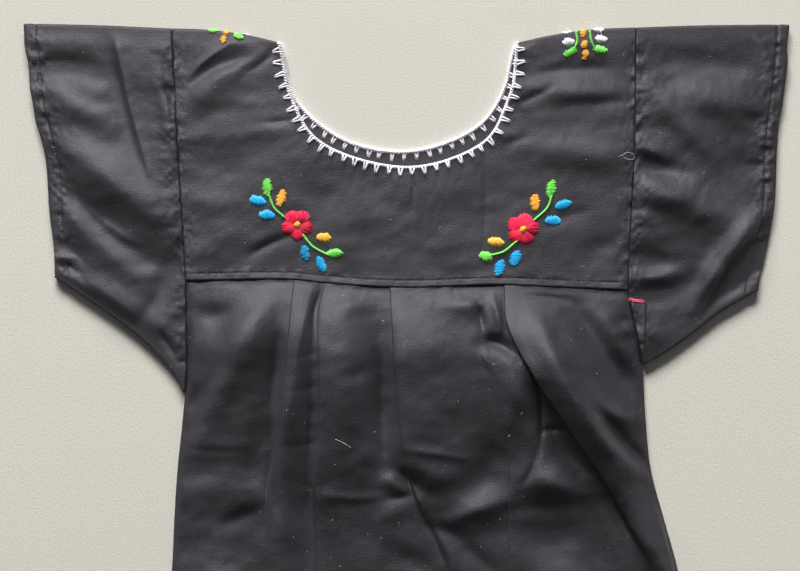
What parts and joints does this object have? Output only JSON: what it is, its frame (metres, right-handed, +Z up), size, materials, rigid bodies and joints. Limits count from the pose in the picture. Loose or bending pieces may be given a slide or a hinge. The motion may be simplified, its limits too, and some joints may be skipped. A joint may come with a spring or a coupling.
{
  "type": "mexican embroidered dress",
  "caption": "Girl's black Puebla-style dress laid flat: square yoke with embroidered flower sprays, crocheted round neck, short sleeves and a pleated skirt.",
  "frame": {"origin": "centre of the whole dress's box on the plane it lies on, on the underside", "axes": "+Z up from the surface through the dress, front upwards; +Y from the hem to the shoulders; +X to the wearer's left"},
  "size_m": [0.4779, 0.58, 0.0189],
  "materials": {
    "black_cotton": "matt plain weave, slightly sheened",
    "crochet_thread": "white mercerised crochet cotton",
    "red_floss": "satin-stitched glossy thread",
    "green_floss": "satin-stitched glossy thread",
    "yellow_floss": "satin-stitched glossy thread",
    "blue_floss": "satin-stitched glossy thread",
    "white_floss": "satin-stitched glossy thread"
  },
  "bodies": {
    "root": {"yoke": "black_cotton", "neck_trim": "crochet_thread", "sleeve_left": "black_cotton", "sleeve_right": "black_cotton", "skirt_front": "black_cotton", "skirt_back": "black_cotton", "left_flower": "red_floss", "left_green_high": "green_floss", "left_yellow_high": "yellow_floss", "left_blue_high": "blue_floss", "left_blue_middle": "blue_floss", "left_green_low": "green_floss", "left_yellow_low": "yellow_floss", "left_blue_low": "blue_floss", "left_blue_lowest": "blue_floss", "right_flower": "red_floss", "right_green_high": "green_floss", "right_yellow_high": "yellow_floss", "right_blue_high": "blue_floss", "right_blue_middle": "blue_floss", "right_green_low": "green_floss", "right_yellow_low": "yellow_floss", "right_blue_low": "blue_floss", "right_blue_lowest": "blue_floss", "shoulder_left_yellow": "yellow_floss", "shoulder_left_green": "green_floss", "shoulder_yellow_dot": "yellow_floss", "shoulder_yellow_tip": "yellow_floss", "shoulder_green_in": "green_floss", "shoulder_green_out": "green_floss", "shoulder_white_in": "white_floss", "shoulder_white_out": "white_floss"}
  },
  "joints": []
}
